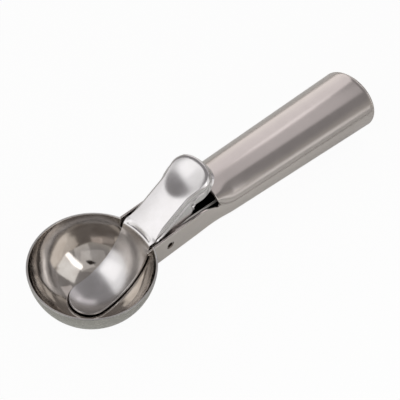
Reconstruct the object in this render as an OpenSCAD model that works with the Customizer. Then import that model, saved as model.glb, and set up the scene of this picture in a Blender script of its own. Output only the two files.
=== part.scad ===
// Lever ice cream scoop: a pressed bowl on a tapered oval tube handle, with a sprung
// thumb lever whose tongue sweeps the bowl. Millimetres, lying on a table, +X to the heel.
// The pieces are drawn about the centre of the bowl's rim, then on_table() sets them down.

/* [Bowl] */
// Outer radius of the ball that the bowl is pressed to
bowl_r = 28; // [25:0.5:32]
// Height of that ball's centre above the rim
ball_up = 1.05; // [0.4:0.05:3]
// Sheet thickness of the bowl
bowl_wall = 0.9; // [0.7:0.05:1.2]
// Width of the notch in the rim that the lever passes through
notch_w = 21.4; // [20.6:0.2:22.4]
// Depth of the notch below the rim
notch_d = 6; // [5:0.25:8]
// Radius of the notch's lower corners
notch_corner = 2; // [1:0.25:4]
// Length of the ear folded in at one corner of the notch
ear_l = 3; // [2:0.25:5]
// Height of that ear
ear_h = 3.5; // [2:0.25:5]

/* [Handle] */
// Distance from the bowl's ball to the mouth of the tube, along the neck
neck_l = 36.2; // [33:0.2:44]
// Outside width of the neck's channel
neck_w = 23; // [22.4:0.2:26]
// Depth of the neck's channel below the rim, outside
neck_h = 16; // [14:0.25:18]
// Radius of the channel's lower corners, outside
neck_corner = 3; // [2:0.25:5]
// Length of the tube from its mouth to its heel
tube_l = 109.4; // [90:1:130]
// Angle at which the tube dips below the rim's plane
tube_dip = 3.87; // [2:0.1:6]
// Depth of the tube's axis below the rim at the mouth
mouth_down = 8; // [7:0.1:9]
// Outside width of the tube at the mouth
mouth_w = 27.5; // [25:0.5:30]
// Outside height of the tube at the mouth
mouth_h = 23.1; // [21:0.5:25]
// Outside width of the tube at the heel
heel_w = 34.3; // [30:0.5:38]
// Outside height of the tube at the heel
heel_h = 28.8; // [25:0.5:31]
// Sheet thickness of the neck and the tube
tube_wall = 1; // [0.8:0.05:1.4]
// Depth to which the neck's walls dip just before the mouth
slot_dip = 2.9; // [1:0.1:4]
// Length of that dip
slot_dip_l = 11; // [6:0.5:16]

/* [Heel cap] */
// Radius round the edge of the heel
heel_edge = 1; // [0.5:0.1:2]
// Thickness of the cap outside the tube
cap_t = 1.4; // [1:0.1:3]
// Depth of the cap's skirt inside the tube
cap_skirt = 5; // [3:0.5:10]
// Thickness of that skirt
cap_wall = 1; // [0.8:0.1:1.5]
// Gap round the skirt inside the tube
cap_gap = 0.1; // [0.05:0.05:0.3]

/* [Pivot pin] */
// Diameter of the pin
pin_d = 4; // [3:0.1:5]
// Distance of the pin behind the bowl's ball
pin_back = 7.2; // [6.5:0.1:9]
// Depth of the pin below the rim
pin_down = 6.7; // [6:0.1:8]
// Gap round the pin in its holes
pin_fit = 0.05; // [0.02:0.01:0.09]
// Diameter of the hollow in each end of the pin
pin_hollow_d = 2.6; // [1.5:0.1:2.9]
// Depth of that hollow
pin_hollow_l = 2.5; // [1:0.1:4]

/* [Thumb lever] */
// Sheet thickness of the lever and its tongue
lever_t = 0.9; // [0.7:0.05:1.2]
// Outside width of the lever across its side flanges
flange_w = 19; // [18:0.1:19.4]
// Radius of the shoulders between the top and the flanges
shoulder_r = 2.2; // [1.5:0.1:3]
// Angle at which the stem climbs from the crease
stem_angle = 32.2; // [28:0.2:36]
// Length of the straight stem, along the rim's plane
stem_l = 19.3; // [17:0.1:22]
// Depth of the crease's ends below the rim
crease_down = 1.4; // [0.8:0.1:2]
// Length of the thumb pad, along the rim's plane
pad_l = 19.4; // [17:0.1:21]
// Width of the thumb pad
pad_w = 21.8; // [21:0.2:27]
// How square the pad's round tip is, where 2 is an ellipse
pad_square = 2.65; // [2:0.05:4]
// How far the pad bends back from the stem's line at its tip
pad_sag = 2.3; // [1:0.1:4]
// Depth of the thumb dimple
dimple_d = 1.8; // [0.5:0.1:2.5]
// Height of the pad's skirt along its sides
skirt_h = 6.6; // [5:0.2:9]
// Height of the pad's skirt at the tip
tip_skirt_h = 3.5; // [3:0.1:9]
// Depth of the side flanges below the rim
flange_down = 0.8; // [0.4:0.1:1.6]
// Length of the side flanges behind the pin
flange_back = 14.6; // [12:0.2:16]
// Size of the cut on the flanges' lower rear corners
flange_corner = 3; // [1:0.25:4]
// Radius of the lug round the pin
lug_r = 4.5; // [4:0.1:5.5]

/* [Tongue] */
// Width of the tongue
tongue_w = 17.8; // [15:0.1:18.4]
// Mean gap between the tongue and the bowl
tongue_gap = 0.5; // [0.4:0.05:1]
// How far the tongue leans to the handle inside that gap
tongue_lean = 0.1; // [0:0.05:0.3]
// How far the tongue is lifted inside that gap
tongue_lift = 0.1; // [0:0.05:0.6]
// Sweep of the tongue round the bowl to its tip, in degrees
tongue_sweep = 116.2; // [100:0.1:120]

/* [Spring] */
// Diameter of the spring's wire
wire_d = 1.2; // [0.8:0.1:1.5]
// Mean radius of the spring's coil
coil_r = 3.6; // [3:0.1:4]
// Whole turns of the coil, apart from the part turn between its legs
coil_turns = 7; // [4:1:7]
// Side gap between the coil's ends and the lever's flanges
coil_side = 0.4; // [0.3:0.05:1]
// Angle at which the short leg climbs to the lever
short_leg_angle = 75; // [65:1:85]
// Length of the long leg inside the neck and tube, up to its bend
long_leg_l = 46; // [35:1:60]
// Gap between the ends of the legs and what they press on
leg_gap = 0.3; // [0.2:0.05:0.5]

/* [Hidden] */
$fn = 96;

// Running gap between the bowl and the neck welded on to it
weld_gap = 0.1;
far = 80;

// Bowl
bowl_in_r = bowl_r - bowl_wall;
ear_x = sqrt(pow(bowl_in_r, 2) - pow(ball_up, 2) - pow(notch_w / 2, 2));

// Handle: every section is a ring of points, boxy along the neck and oval along the tube
mouth_x = bowl_r + neck_l;
tube_dir = [cos(tube_dip), -sin(tube_dip)];
tube_up = [sin(tube_dip), cos(tube_dip)];
neck_end_x = mouth_x - slot_dip_l;
oval_x = mouth_x + slot_dip_l;
neck_start_x = bowl_r / 2;
ring_n = 64;
morph_steps = 10;

function smooth(a, b, x) = let(s = min(1, max(0, (x - a) / (b - a)))) s * s * (3 - 2 * s);
function mix(a, b, m) = a + (b - a) * m;

// Point of a rounded box and of an oval, both for step i round the ring
function box_point(i, w, low, high, r) =
    let(q = floor(i * 4 / ring_n), a = 90 * q + 90 * (i - q * ring_n / 4) / (ring_n / 4 - 1),
        sy = (q == 0 || q == 3) ? 1 : -1, sz = q < 2 ? 1 : -1)
    [sy * (w / 2 - r) + r * cos(a), (sz > 0 ? high - r : low + r) + r * sin(a)];
function oval_point(i, w, h) = let(a = 360 * (i + 0.5) / ring_n) [w / 2 * cos(a), h / 2 * sin(a)];

// Ring at x along the handle, inset by the wall in; its plane turns square to the tube's axis
function handle_ring(x, in) =
    let(m = smooth(neck_end_x, oval_x, x),
        along = (x - mouth_x) / tube_dir[0],
        f = along / tube_l,
        axis_z = -mouth_down + tube_dir[1] * along,
        w = mix(mouth_w, heel_w, f) - 2 * in,
        h = mix(mouth_h, heel_h, f) - 2 * in,
        top = axis_z + h / 2,
        tilt = tube_dip * m)
    [for (i = [0 : ring_n - 1])
        let(b = box_point(i, neck_w - 2 * in, -neck_h + in, top, neck_corner - in),
            o = oval_point(i, w, h),
            y = mix(b[0], o[0], m),
            up = mix(b[1] - axis_z, o[1], m))
        [x + up * sin(tilt), y, axis_z + up * cos(tilt)]];

// Ring square to the tube's axis at a distance along it, drawn in by an amount all round
function heel_ring(along, in) =
    let(f = along / tube_l,
        c = [mouth_x + tube_dir[0] * along, -mouth_down + tube_dir[1] * along])
    [for (i = [0 : ring_n - 1])
        let(o = oval_point(i, mix(mouth_w, heel_w, f) - 2 * in, mix(mouth_h, heel_h, f) - 2 * in))
        [c[0] + o[1] * tube_up[0], o[0], c[1] + o[1] * tube_up[1]]];

// Where the heel touches the table, and the tilt that sets bowl and heel on one plane
heel = [mouth_x + tube_dir[0] * tube_l, -mouth_down + tube_dir[1] * tube_l];
heel_low = heel - heel_edge * tube_dir - (heel_h / 2 - heel_edge) * tube_up;
heel_high = heel - heel_edge * tube_dir + (heel_h / 2 - heel_edge) * tube_up;
rise = heel_low[1] - ball_up;
rest_tilt = asin((heel_edge - bowl_r) / norm([heel_low[0], rise])) - atan2(rise, heel_low[0]);
function set_down(p) = [p[0] * cos(rest_tilt) - p[1] * sin(rest_tilt),
                        p[0] * sin(rest_tilt) + p[1] * cos(rest_tilt)];
rim_x = sqrt(pow(bowl_r, 2) - pow(ball_up, 2));
front_x = set_down([-rim_x, 0])[0];
back_x = set_down(heel_high)[0] + heel_edge;
table_z = set_down([0, ball_up])[1] - bowl_r;

// Pin
pin_x = bowl_r + pin_back;
pin_hole_r = pin_d / 2 + pin_fit;
channel_w = neck_w - 2 * tube_wall;

// Lever: crease where the stem leaves the tongue, top line of stem and pad, plan outline
tongue_out_r = bowl_in_r - tongue_gap;
tongue_in_r = tongue_out_r - lever_t;
tongue_c = [tongue_lean, ball_up + tongue_lift];
crease_x = tongue_lean + sqrt(pow(tongue_in_r, 2) - pow(flange_w / 2 - shoulder_r, 2));
pad_x = crease_x + stem_l;
tip_x = pad_x + pad_l;
pad_neck_x = mix(pad_x, tip_x, 0.15);
pad_wide_x = mix(pad_x, tip_x, 0.55);
blank_l = 4;
lever_front_x = crease_x - blank_l;
flange_back_x = pin_x + flange_back;
flange_top = top_line(flange_back_x) - shoulder_r - skirt_h;
lever_low = -pin_down - lug_r - 1;

// Height of the lever's top along its middle, and its plan half-width drawn in by an inset
function top_line(x) = -crease_down + (x - crease_x) * tan(stem_angle)
    - pad_sag * pow(max(0, x - pad_x) / pad_l, 2);
function half_width(x, in) =
    let(stem = flange_w / 2 - in, pad = pad_w / 2 - in, tip = tip_x - in)
    x < pad_wide_x ? mix(stem, pad, smooth(pad_neck_x, pad_wide_x, x))
                   : pad * pow(max(0, 1 - pow((x - pad_wide_x) / (tip - pad_wide_x), pad_square)), 1 / pad_square);

// Dimple for the thumb, deepest in the middle of the pad
dimple_x = mix(pad_x, tip_x, 0.47);
dimple_l = pad_l * 0.52;
dimple_w = pad_w * 0.42;
function dimple(x, y) =
    let(q = pow((x - dimple_x) / dimple_l, 2) + pow(y / dimple_w, 2)) dimple_d * pow(max(0, 1 - q), 2);

// Drop of the shoulder at a distance in from the edge
function shoulder(d, r) = d >= r ? 0 : r - sqrt(max(0, r * r - pow(r - d, 2)));

// Plan stations along the lever, closer together round the tip, and steps across it
stem_steps = 16;
tip_steps = 14;
across = [-1, -0.985, -0.95, -0.9, -0.84, -0.76, -0.62, -0.46, -0.3, -0.15, 0,
          0.15, 0.3, 0.46, 0.62, 0.76, 0.84, 0.9, 0.95, 0.985, 1];
function tip_share(i) = pow(sin(88 * i / tip_steps), 2 / pad_square);
function stations(in) = concat(
    [for (i = [0 : stem_steps - 1]) mix(lever_front_x, pad_wide_x, i / stem_steps)],
    [for (i = [0 : tip_steps]) pad_wide_x + (tip_x - in - pad_wide_x) * tip_share(i)]);

function lever_point(x, e, in) =
    let(h = half_width(x, in), y = e * h,
        slope = (half_width(x + 0.05, in) - half_width(x - 0.05, in)) / 0.1,
        d = h * (1 - abs(e)) / sqrt(1 + slope * slope))
    [x, y, top_line(x) - in / cos(stem_angle) - dimple(x, y) - shoulder(d, shoulder_r - in)];

// Short leg's end: where its line meets the underside of the stem
short_dir = [cos(short_leg_angle), sin(short_leg_angle)];
short_start = [pin_x, -pin_down] + coil_r * [sin(short_leg_angle), -cos(short_leg_angle)];
under_gap = lever_t / cos(stem_angle) + (wire_d / 2 + leg_gap) / cos(stem_angle);
short_l = (top_line(short_start[0]) - under_gap - short_start[1])
    / (short_dir[1] - short_dir[0] * tan(stem_angle));

// Spring: coil turned about the pin, a long leg along the near wall and a short leg at the far one
coil_half = flange_w / 2 - lever_t - coil_side - wire_d / 2;
coil_start = 90 - tube_dip;
coil_end = 360 * coil_turns + 270 + short_leg_angle;
curl_rings = 8;
coil_steps = ceil((coil_end - coil_start) / 360 * curl_rings);
function coil_point(i) =
    let(f = i / coil_steps, a = mix(coil_start, coil_end, f))
    [pin_x + coil_r * cos(a), mix(-coil_half, coil_half, f), -pin_down + coil_r * sin(a)];

// The long leg follows the tube's axis, then bends down to the tube's floor
long_bend = [pin_x, -pin_down] + coil_r * tube_up + long_leg_l * tube_dir;
bend_run = 6;
bend_along = (long_bend[0] + bend_run - mouth_x) / tube_dir[0];
bend_w = mix(mouth_w, heel_w, bend_along / tube_l) / 2 - tube_wall;
bend_h = mix(mouth_h, heel_h, bend_along / tube_l) / 2 - tube_wall;
floor_z = -mouth_down + tube_dir[1] * bend_along
    - bend_h * sqrt(1 - pow((coil_half + wire_d / 2) / bend_w, 2));
long_end = [long_bend[0] + bend_run, floor_z + wire_d / 2 + leg_gap];
long_mid = long_bend + (long_end - long_bend) / 2;

function leg(a, b, n, y) = [for (i = [0 : n - 1]) let(p = mix(a, b, i / n)) [p[0], y, p[1]]];
long_top = [pin_x, -pin_down] + coil_r * tube_up;
short_end = short_start + short_l * short_dir;
stem_dir = [cos(stem_angle), sin(stem_angle)];
spring_path = concat(
    leg(long_end, long_mid, 1, -coil_half),
    leg(long_mid, long_bend - 1.5 * tube_dir, 2, -coil_half),
    leg(long_bend - 1.5 * tube_dir, long_top, 4, -coil_half),
    [for (i = [0 : coil_steps]) coil_point(i)],
    leg(short_start + short_dir, short_end, 3, coil_half),
    leg(short_end, short_end + 4 * stem_dir, 2, coil_half),
    [let(p = short_end + 4 * stem_dir) [p[0], coil_half, p[1]]]);

// Least gap between turns of the spring, taken between points over half a turn apart
spring_gap = min([for (i = [0 : len(spring_path) - 2], j = [i + 1 : len(spring_path) - 1])
    if (j - i > curl_rings / 2 + 1) norm(spring_path[i] - spring_path[j])]) - wire_d;
echo("least gap of the spring to itself, mm", spring_gap);

// A closed solid over rings of equal length, open chains of points joined into one skin
module skin(rings) {
    n = len(rings[0]);
    m = len(rings);
    pts = [for (r = rings) each r];
    sides = [for (k = [0 : m - 2], i = [0 : n - 1])
        let(a = k * n + i, b = k * n + (i + 1) % n) each [[a, a + n, b], [b, a + n, b + n]]];
    polyhedron(points = pts, faces = concat(sides,
        [[for (i = [0 : n - 1]) i], [for (i = [n - 1 : -1 : 0]) (m - 1) * n + i]]), convexity = 6);
}

// Tube of the spring's wire swept along a path, six sides
module wire(path) {
    n = len(path);
    dirs = [for (i = [0 : n - 1])
        let(v = path[min(n - 1, i + 1)] - path[max(0, i - 1)]) v / norm(v)];
    rings = [for (i = [0 : n - 1])
        let(s = cross(dirs[i], [0, 1, 0.001]), u = s / norm(s), v = cross(dirs[i], u))
        [for (k = [0 : 5]) path[i] + wire_d / 2 * (cos(60 * k) * u + sin(60 * k) * v)]];
    skin(rings);
}

// Prism of a side outline drawn in x and z
module side_prism(width) {
    rotate([90, 0, 0]) linear_extrude(height = width, center = true) children();
}

// Solid under the lever's top surface, drawn in by an inset, down to below its lugs
module lever_block(in) {
    xs = stations(in);
    n = len(xs);
    k = len(across);
    low = lever_low - in;
    top = [for (x = xs, e = across) lever_point(x, e, in)];
    bottom = [for (x = xs, e = across) [x, e * half_width(x, in), low]];
    t = n * k;
    faces = concat(
        [for (i = [0 : n - 2], j = [0 : k - 2]) let(a = i * k + j)
            each [[a, a + 1, a + k], [a + 1, a + k + 1, a + k]]],
        [for (i = [0 : n - 2]) let(a = t + i * k, b = t + i * k + k - 1)
            each [[a, a + k, b], [a + k, b + k, b]]],
        [for (i = [0 : n - 2]) let(a = i * k)
            each [[a, a + k, t + a], [a + k, t + a + k, t + a]]],
        [for (i = [0 : n - 2]) let(a = i * k + k - 1)
            each [[a, t + a, a + k], [a + k, t + a, t + a + k]]],
        [[for (j = [0 : k - 1]) k - 1 - j, t, t + k - 1]],
        [[for (j = [0 : k - 1]) (n - 1) * k + j, t + (n - 1) * k + k - 1, t + (n - 1) * k]]);
    polyhedron(points = concat(top, bottom), faces = faces, convexity = 8);
}

// The lever's top, shoulders and skirt seen from the side, down to the skirt's edge, which
// rises past the flanges to a corner beside the tip
module skirt_side() {
    tip_low = top_line(tip_x) - tip_skirt_h;
    side_low = top_line(pad_wide_x) - skirt_h;
    edge_rise = 1.2;
    corner_drop = 1.4;
    polygon([[lever_front_x, far], [lever_front_x, -flange_down], [pad_x, -flange_down],
             [pad_x, flange_top], [flange_back_x, flange_top + edge_rise],
             [mix(pad_x, tip_x, 0.42), side_low - edge_rise / 2], [mix(pad_x, tip_x, 0.7), side_low + edge_rise / 2],
             [mix(pad_x, tip_x, 0.88), tip_low - corner_drop], [tip_x + 1, tip_low], [tip_x + 1, far]]);
}

// One flat flange and its lug seen from the side
module flange_side() {
    polygon([[lever_front_x, flange_top], [lever_front_x, -flange_down - 2],
             [crease_x + 1, -flange_down - 1], [pin_x - lug_r, -flange_down],
             [pin_x - lug_r, -pin_down], [pin_x + lug_r, -pin_down], [pin_x + lug_r, -flange_down],
             [flange_back_x - flange_corner, -flange_down + 1], [flange_back_x, -flange_down + 1 + flange_corner],
             [flange_back_x - 0.8, flange_top + 1], [pad_x, far], [lever_front_x, far]]);
    translate([pin_x, -pin_down]) circle(r = lug_r);
}

// Slot cut down into the neck, up to the mouth of the tube
module slot_side() {
    polygon([[0, 0], [neck_end_x, 0], [mix(neck_end_x, mouth_x, 0.55), -slot_dip * 0.35],
             [mouth_x - 0.6, -slot_dip], [mouth_x + 0.7, -slot_dip * 0.8],
             [mouth_x + 0.9, -slot_dip * 0.45], [mouth_x, 1.4], [mouth_x, far], [0, far]]);
}

module ball(r) {
    translate([0, 0, ball_up]) sphere(r = r);
}

module bowl_notch() {
    x0 = bowl_r / 2;
    translate([x0, -notch_w / 2, -notch_d + notch_corner]) cube([bowl_r, notch_w, far]);
    translate([x0, -notch_w / 2 + notch_corner, -notch_d]) cube([bowl_r, notch_w - 2 * notch_corner, far]);
    for (s = [-1, 1])
        translate([x0, s * (notch_w / 2 - notch_corner), -notch_d + notch_corner])
            rotate([0, 90, 0]) cylinder(r = notch_corner, h = bowl_r);
}

module bowl() {
    color("#a8a4a0") {
        difference() {
            ball(bowl_r);
            ball(bowl_in_r);
            translate([-far / 2, -far / 2, 0]) cube([far, far, far]);
            bowl_notch();
        }
        intersection() {
            ball(bowl_in_r + bowl_wall / 2);
            translate([ear_x - ear_l, -notch_w / 2 - bowl_wall, -ear_h])
                cube([ear_l + bowl_wall / 2, bowl_wall, ear_h]);
        }
    }
}

module handle() {
    morph = [for (i = [0 : morph_steps]) mix(neck_end_x, oval_x, i / morph_steps)];
    tube_end = tube_l - cap_t;
    color("#c4bebc") difference() {
        skin(concat([handle_ring(neck_start_x, 0)], [for (x = morph) handle_ring(x, 0)],
                    [heel_ring(tube_end, 0)]));
        skin(concat([handle_ring(neck_start_x - 1, tube_wall)],
                    [for (x = morph) handle_ring(x, tube_wall)],
                    [heel_ring(tube_end + 1, tube_wall)]));
        side_prism(far) slot_side();
        ball(bowl_r + weld_gap);
        translate([pin_x, 0, -pin_down]) rotate([90, 0, 0])
            cylinder(r = pin_hole_r, h = far, center = true);
    }
}

module heel_cap() {
    edge_steps = 5;
    face = tube_l - heel_edge;
    inside = tube_wall + cap_gap;
    skirt = tube_l - cap_t - cap_skirt;
    color("#c4bebc") difference() {
        union() {
            skin(concat([heel_ring(tube_l - cap_t, 0)],
                [for (i = [0 : edge_steps]) let(a = 90 * i / edge_steps)
                    heel_ring(face + heel_edge * sin(a), heel_edge * (1 - cos(a)))]));
            skin([heel_ring(skirt, inside), heel_ring(tube_l - cap_t + 0.5, inside)]);
        }
        skin([heel_ring(skirt - 1, inside + cap_wall), heel_ring(tube_l - cap_t, inside + cap_wall)]);
    }
}

// Tongue: a strip of a ball's skin with a round tip, cut off under the stem's top
module tongue() {
    tip_turn = tongue_w / 2 / tongue_in_r * 180 / PI;
    intersection() {
        tongue_ball(tongue_out_r);
        union() {
            lever_block(0);
            translate([-far, -far, lever_low - far]) cube([2 * far, 2 * far, far]);
        }
        translate([tongue_c[0], 0, tongue_c[1]]) rotate([0, tongue_sweep - tip_turn, 0]) {
            rotate([0, 90, 0]) cylinder(d = tongue_w, h = far);
            rotate([0, -90, 0]) translate([0, -tongue_w / 2, -far]) cube([far, tongue_w, 2 * far]);
        }
    }
}

module tongue_ball(r) {
    translate([tongue_c[0], 0, tongue_c[1]]) sphere(r = r);
}

module thumb_lever() {
    color("#dcdad8") difference() {
        union() {
            intersection() {
                difference() {
                    lever_block(0);
                    lever_block(lever_t);
                }
                side_prism(far) skirt_side();
            }
            for (s = [-1, 1])
                intersection() {
                    lever_block(0);
                    translate([0, s * (flange_w - lever_t) / 2, 0]) side_prism(lever_t) flange_side();
                }
            tongue();
        }
        tongue_ball(tongue_in_r);
        translate([pin_x, 0, -pin_down]) rotate([90, 0, 0])
            cylinder(r = pin_hole_r, h = far, center = true);
    }
}

module pivot_pin() {
    l = neck_w - 0.4;
    color("#b5b0ad") translate([pin_x, 0, -pin_down]) rotate([90, 0, 0]) difference() {
        cylinder(d = pin_d, h = l, center = true);
        for (s = [-1, 1])
            translate([0, 0, s * l / 2]) cylinder(d = pin_hollow_d, h = 2 * pin_hollow_l, center = true);
    }
}

module torsion_spring() {
    color("#d8d6d2") wire(spring_path);
}

// Lying on a table, with the middle of the whole length over the origin
module on_table() {
    translate([-(front_x + back_x) / 2, 0, -table_z]) rotate([0, -rest_tilt, 0]) children();
}

on_table() bowl();
on_table() handle();
on_table() heel_cap();
on_table() thumb_lever();
on_table() pivot_pin();
on_table() torsion_spring();
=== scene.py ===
import math
import bpy
import numpy as np
from mathutils import Matrix


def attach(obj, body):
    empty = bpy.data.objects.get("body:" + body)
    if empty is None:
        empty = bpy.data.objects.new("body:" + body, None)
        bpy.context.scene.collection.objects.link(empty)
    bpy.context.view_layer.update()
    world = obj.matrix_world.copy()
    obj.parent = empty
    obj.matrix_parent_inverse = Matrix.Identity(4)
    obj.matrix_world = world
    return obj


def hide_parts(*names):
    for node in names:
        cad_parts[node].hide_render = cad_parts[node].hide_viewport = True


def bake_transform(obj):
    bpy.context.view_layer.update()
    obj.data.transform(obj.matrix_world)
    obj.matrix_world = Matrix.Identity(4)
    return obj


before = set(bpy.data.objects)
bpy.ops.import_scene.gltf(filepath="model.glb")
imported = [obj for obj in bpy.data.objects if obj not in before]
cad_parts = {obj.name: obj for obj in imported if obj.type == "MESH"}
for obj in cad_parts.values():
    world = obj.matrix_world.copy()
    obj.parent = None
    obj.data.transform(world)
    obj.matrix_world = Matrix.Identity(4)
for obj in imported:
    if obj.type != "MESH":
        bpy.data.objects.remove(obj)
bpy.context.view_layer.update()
print("frame loaded:", ", ".join(sorted(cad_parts)))

# Shapes are worked out in millimetres about the middle of the bowl's rim, with x to the heel
# and z up. place() then tilts them as they lie on the table and turns them into metres.

bowl = {
    "ballRadius": 28.0,      # outside
    "ballUp": 1.05,          # middle of that ball above the rim
    "wall": 0.9,
    "edge": 0.22,            # rounding of the sheet's edges
    "notchWidth": 21.4,
    "notchDepth": 6.0,
    "notchCorner": 2.0,
    "earLength": 2.9,
    "earHeight": 3.4,
    "earBend": 0.9,
    "earSide": 0.6,          # how far past the notch its bend starts
    "earSink": 0.25,         # how far inside the ball it stands
    "earRound": 0.45,        # share of its length and height that its lower corner rounds off
}
handle = {
    "neckLength": 36.2,      # from the ball to the mouth of the tube
    "neckWidth": 23.0,
    "neckDepth": 16.0,
    "neckCorner": 3.0,
    "tubeLength": 109.4,
    "tubeDip": 3.87,
    "mouthDown": 8.0,
    "mouthWidth": 27.5,
    "mouthHeight": 23.1,
    "heelWidth": 34.3,
    "heelHeight": 28.8,
    "wall": 1.0,
    "edge": 0.25,
    "slotDip": 2.9,
    "slotDipLength": 11.0,
    "slotDipPower": 2.1,     # how late the dip steepens
    "slotDipEnd": 0.6,       # ahead of the mouth
    "slotCorner": 1.0,
    "lipLean": 20.0,         # degrees, of the mouth's lip just above the slot
    "weldGap": 0.1,
}
heel = {
    "edge": 1.0,
    "capThickness": 1.4,
    "skirt": 5.0,
    "skirtWall": 1.0,
    "skirtGap": 0.1,
    "dish": 0.5,             # how far the face is pressed in
    "dishRim": 3.2,
    "dishFlat": 0.25,        # share of that rim that stays flat
}
pin = {
    "diameter": 4.0,
    "back": 7.2,             # behind the ball
    "down": 6.7,             # below the rim
    "fit": 0.05,
    "hollowDiameter": 2.6,
    "hollowLength": 2.5,
    "hollowFlat": 0.75,      # share of the hollow's floor that is flat
    "hollowRise": 0.5,       # height of the slope round it
    "endGap": 0.2,           # from its end to the neck's outer face
    "edge": 0.25,
}
lever = {
    "thickness": 0.9,
    "edge": 0.2,
    "flangeWidth": 19.0,
    "shoulder": 2.2,
    "stemAngle": 32.2,
    "stemLength": 19.3,
    "creaseDown": 1.4,
    "creaseRadius": 1.6,
    "padLength": 19.4,
    "padWidth": 21.8,
    "padSquare": 2.65,       # power of the tip's outline, where 2 is an ellipse
    "padSag": 2.3,
    "padNeckAt": 0.15,       # where the pad starts to widen, as a share of its length
    "padWideAt": 0.55,       # where it is widest
    "dimpleDepth": 1.8,
    "dimpleAt": 0.47,        # middle of the dimple, as a share of the pad's length
    "dimpleLength": 0.52,    # half its length, as a share of the pad's
    "dimpleWidth": 0.42,     # half its width, as a share of the pad's
    "creaseTuck": 0.7,       # how much narrower each side is at the crease
    "creaseShoulder": 0.15,  # the shoulder's radius there
    "creaseBow": 5.0,        # how far behind the crease its bow dies out
    "grooveDepth": 1.1,      # of the groove just behind the crease, in its middle
    "grooveLength": 3.2,
    "grooveWall": 0.6,       # length of its steep side, towards the crease
    "grooveFloor": 0.5,      # where its slow rise starts
    "fold": 0.7,             # how far the skirt steps out below the shoulder
    "foldHeight": 0.9,
    "crown": 0.6,            # how far the stem's edges lie below its middle
    "skirtHeight": 6.6,      # along the pad's sides
    "tipSkirt": 4.2,         # at its tip
    "tipRound": 0.7,         # how much wider its shoulder is at the tip
    "skirtFlare": 1.5,       # how far the skirt's edge stands out past the pad
    "flangeDown": 0.8,
    "flangeBack": 14.6,      # behind the pin
    "flangeCorner": 3.0,
    "lugRadius": 4.5,
}
tongue = {
    "width": 17.8,
    "gap": 0.5,
    "lean": 0.1,
    "lift": 0.1,
    "sweep": 116.2,
    "flatShare": 0.55,       # share of the ball's crosswise curve that it has at the crease
    "flatTo": 9.0,           # degrees below the crease up to which it stays so flat
    "roundFrom": 19.0,       # degrees from which it has the ball's full curve
    "widenOver": 0.35,       # share of its length over which it reaches its width
}
spring = {
    "wire": 1.2,
    "coilRadius": 3.6,
    "turns": 7,
    "sideGap": 0.4,
    "shortLegAngle": 75.0,
    "longLeg": 46.0,
    "legGap": 0.3,
    "bend": 1.6,
    "shortFoot": 4.0,        # the short leg's end, along the stem
    "longFoot": 6.0,         # how much farther back the long leg ends than it bends
}


def mix(a, b, m):
    return a + (b - a) * m


def smooth(a, b, x):
    s = np.clip((x - a) / (b - a), 0, 1)
    return s * s * (3 - 2 * s)


# Places that several pieces share
ballRadius = bowl["ballRadius"]
bowlInside = ballRadius - bowl["wall"]
mouthX = ballRadius + handle["neckLength"]
dip = math.radians(handle["tubeDip"])
tubeDir = np.array([math.cos(dip), -math.sin(dip)])
tubeUp = np.array([math.sin(dip), math.cos(dip)])
neckEndX = mouthX - handle["slotDipLength"]
ovalX = mouthX + handle["slotDipLength"]
pinX = ballRadius + pin["back"]
pinZ = -pin["down"]
pinHole = pin["diameter"] / 2 + pin["fit"]

# The tilt at which the bowl's ball and the heel's lower edge stand on one plane
heelPoint = np.array([mouthX, -handle["mouthDown"]]) + tubeDir * handle["tubeLength"]
heelReach = handle["heelHeight"] / 2 - heel["edge"]
heelLow = heelPoint - heel["edge"] * tubeDir - heelReach * tubeUp
heelHigh = heelPoint - heel["edge"] * tubeDir + heelReach * tubeUp
rise = heelLow[1] - bowl["ballUp"]
restTilt = math.asin((heel["edge"] - ballRadius) / math.hypot(heelLow[0], rise))
restTilt -= math.atan2(rise, heelLow[0])
turn = np.array([[math.cos(restTilt), -math.sin(restTilt)], [math.sin(restTilt), math.cos(restTilt)]])
frontX = (turn @ [-math.sqrt(ballRadius ** 2 - bowl["ballUp"] ** 2), 0])[0]
backX = (turn @ heelHigh)[0] + heel["edge"]
tableZ = (turn @ [0, bowl["ballUp"]])[1] - ballRadius


def place(points):
    # x and z turned by the rest tilt, then moved over the origin and on to the table
    laid = np.array(points, float).reshape(-1, 3)
    laid[:, [0, 2]] = laid[:, [0, 2]] @ turn.T - [(frontX + backX) / 2, tableZ]
    return laid / 1000


def gridFaces(rows, columns, start=0):
    # quads between neighbouring rows and columns of a grid numbered row by row
    corner = start + np.arange(rows - 1)[:, None] * columns + np.arange(columns - 1)[None, :]
    return np.stack([corner, corner + columns, corner + columns + 1, corner + 1], -1).reshape(-1, 4)


def joined(*parts):
    # several (points, quads) put into one
    points, quads, count = [], [], 0
    for partPoints, partQuads in parts:
        partPoints = np.asarray(partPoints, float).reshape(-1, 3)
        points.append(partPoints)
        quads.append(partQuads + count)
        count += len(partPoints)
    return np.concatenate(points), np.concatenate(quads)


def grid(x, y, z, flip=False):
    # one grid from three arrays of coordinates
    points = np.stack(np.broadcast_arrays(x, y, z), -1)
    quads = gridFaces(points.shape[0], points.shape[1])
    return points.reshape(-1, 3), quads[:, ::-1] if flip else quads


def mirrored(points, quads):
    # the shape and its mirror image across y = 0
    return joined((points, quads), (points * [1, -1, 1], quads[:, ::-1]))


def weld(points, quads):
    # points that coincide become one, and a quad with a side of no length becomes a triangle
    _, first, same = np.unique(np.round(points, 4), axis=0, return_index=True, return_inverse=True)
    faces = same.reshape(-1)[quads]
    kept = faces != np.roll(faces, 1, axis=1)
    corners = kept.sum(axis=1)
    three = corners == 3
    return points[first], faces[corners == 4], faces[three][kept[three]].reshape(-1, 3)


def unit(vectors):
    # the same directions with a length of 1
    return vectors / np.maximum(np.linalg.norm(vectors, axis=-1, keepdims=True), 1e-12)


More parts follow.
